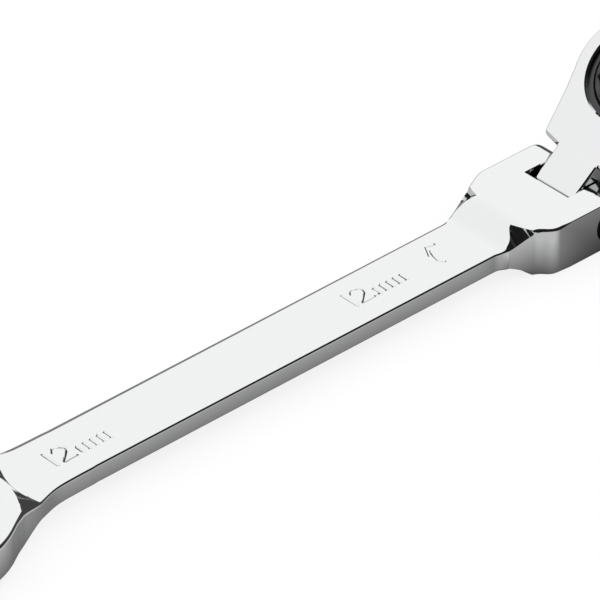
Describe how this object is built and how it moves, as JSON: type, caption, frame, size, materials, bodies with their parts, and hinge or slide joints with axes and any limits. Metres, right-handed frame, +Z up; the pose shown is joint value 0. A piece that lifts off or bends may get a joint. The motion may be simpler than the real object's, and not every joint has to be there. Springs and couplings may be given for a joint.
{
  "type": "ratchet wrench",
  "caption": "Combination wrench with an open jaw at one end and, on a hinged fork at the other, a tilting ring head with a ratcheting 12-point drive.",
  "frame": {"origin": "on the handle's centre line, on the flat underside of the fork, 10 mm behind the head's hinge pin", "axes": "+X along the handle towards the ratchet head, +Y to the left, +Z up, out of the stamped face"},
  "size_m": [0.1688, 0.0266, 0.0274],
  "materials": {
    "chrome_plate": "mirror-polished chrome plate on forged steel",
    "gear_steel": "dark phosphate, lightly turned",
    "ring_steel": "dark spring steel, oiled",
    "screw_steel": "black oxide",
    "pawl_steel": "ground, hardened",
    "spring_steel": "bright drawn wire",
    "ball_steel": "polished"
  },
  "bodies": {
    "handle": {"wrench_body": "chrome_plate", "pivot_screw": "screw_steel", "detent_ball": "ball_steel", "detent_spring": "spring_steel"},
    "head": {"ratchet_housing": "chrome_plate", "snap_ring": "ring_steel", "pawl_spring": "spring_steel"},
    "gear": {"drive_gear": "gear_steel"},
    "pawl": {"pawl": "pawl_steel"}
  },
  "joints": [
    {"name": "head_flex", "type": "hinge", "parent": "handle", "child": "head", "pos_m": [0.01, 0, 0.00415], "axis": [0, -1, 0], "range_deg": [-128, 52]},
    {"name": "gear_spin", "type": "hinge", "parent": "head", "child": "gear", "pos_m": [0.02686, 0, 0.01733], "axis": [-0.6157, 0, 0.788], "continuous": true},
    {"name": "pawl_slide", "type": "slide", "parent": "head", "child": "pawl", "axis": [-0.788, 0, -0.6157], "range_m": [0, 0.0006], "stiffness_N_per_m": 500, "springref_m": -0.002, "deforming": ["pawl_spring"]}
  ]
}
